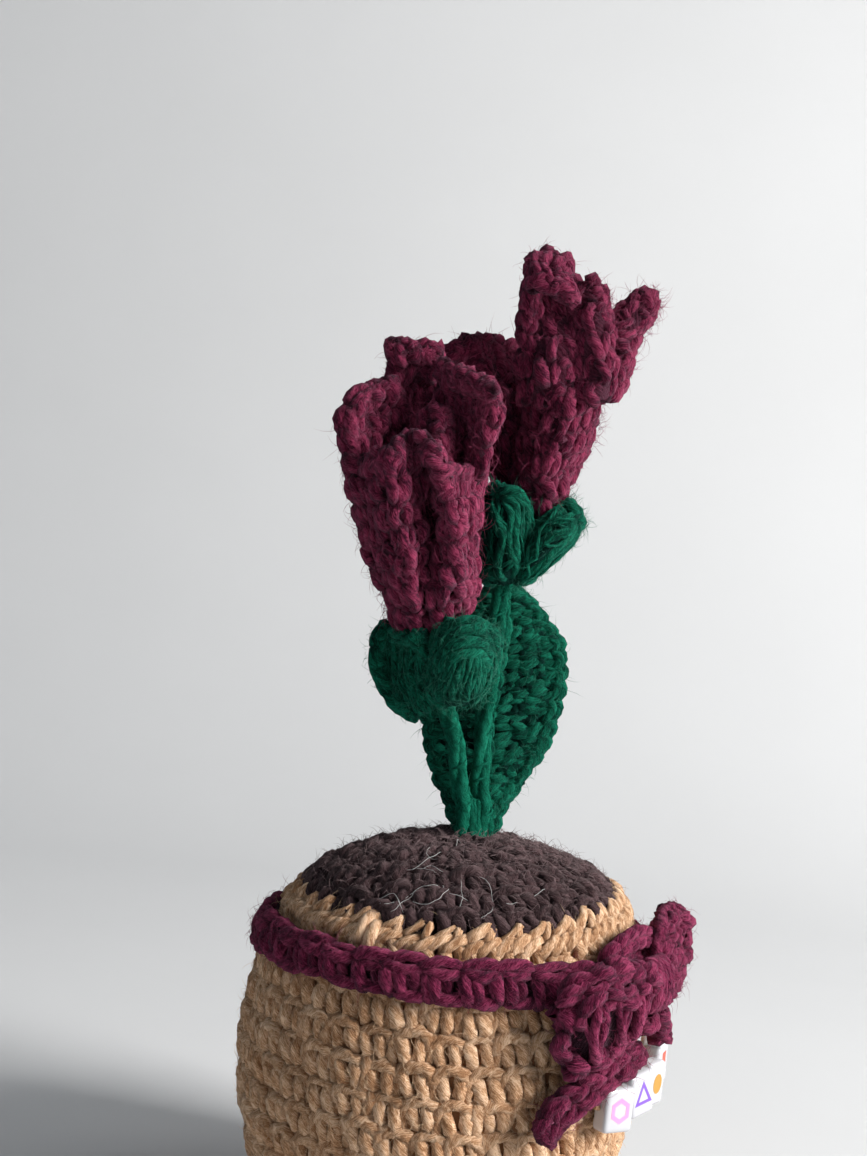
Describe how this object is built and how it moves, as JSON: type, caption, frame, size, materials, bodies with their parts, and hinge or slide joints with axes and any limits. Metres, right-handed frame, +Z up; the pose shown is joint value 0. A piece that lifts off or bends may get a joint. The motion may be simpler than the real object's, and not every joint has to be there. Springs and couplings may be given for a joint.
{
  "type": "crocheted potted freesia",
  "caption": "Crocheted potted freesia: round tan yarn pot with brown soil top, wrapped stems, leaf, burgundy trumpet flowers, and a band with bow and strung beads.",
  "frame": {"origin": "centre of the pot's flat base, on the surface that it stands on", "axes": "+Z up along the pot's axis, -Y to the front where the flowers open, +X to the side where the bow is"},
  "size_m": [0.0672, 0.0631, 0.1505],
  "materials": {
    "tan_yarn": "matt crocheted acrylic yarn, single crochet rounds, fuzzy",
    "brown_yarn": "matt crocheted acrylic yarn, fuzzy with pale stray fibres",
    "fibre_fill": "loose polyester fibre filling",
    "canvas_disc": "flat stiff disc, matt",
    "burgundy_trim_yarn": "matt crocheted acrylic yarn",
    "burgundy_petal_yarn": "matt crocheted acrylic yarn, fuzzy",
    "green_leaf_yarn": "matt crocheted acrylic yarn, fuzzy",
    "green_wrap_yarn": "single yarn wound tightly round the wire",
    "wire": "plain craft wire",
    "bead_plastic": "glossy white acrylic with small coloured marks",
    "thread": "thin tan sewing thread"
  },
  "bodies": {
    "root": {"band": "burgundy_trim_yarn", "base_stiffener": "canvas_disc", "bead_1": "bead_plastic", "bead_2": "bead_plastic", "bead_3": "bead_plastic", "bead_4": "bead_plastic", "bead_5": "bead_plastic", "bead_thread": "thread", "bow_knot": "burgundy_trim_yarn", "bow_loop_left": "burgundy_trim_yarn", "bow_loop_right": "burgundy_trim_yarn", "bow_tail_left": "burgundy_trim_yarn", "bow_tail_right": "burgundy_trim_yarn", "bract_left_front": "green_leaf_yarn", "bract_left_side": "green_leaf_yarn", "bract_right_front": "green_leaf_yarn", "bract_right_side": "green_leaf_yarn", "calyx_left_cup": "green_leaf_yarn", "calyx_right_cup": "green_leaf_yarn", "flower_left_petal_back": "burgundy_petal_yarn", "flower_left_petal_inner": "burgundy_petal_yarn", "flower_left_petal_left": "burgundy_petal_yarn", "flower_left_petal_right": "burgundy_petal_yarn", "flower_left_tube": "burgundy_petal_yarn", "flower_right_petal_back": "burgundy_petal_yarn", "flower_right_petal_hood": "burgundy_petal_yarn", "flower_right_petal_left": "burgundy_petal_yarn", "flower_right_petal_ridge": "burgundy_petal_yarn", "flower_right_petal_right": "burgundy_petal_yarn", "flower_right_tube": "burgundy_petal_yarn", "leaf": "green_leaf_yarn", "pot_cup": "tan_yarn", "soil_dome": "brown_yarn", "stem_left_wire": "wire", "stem_left_wrap": "green_wrap_yarn", "stem_right_wire": "wire", "stem_right_wrap": "green_wrap_yarn", "stuffing": "fibre_fill"}
  },
  "joints": []
}
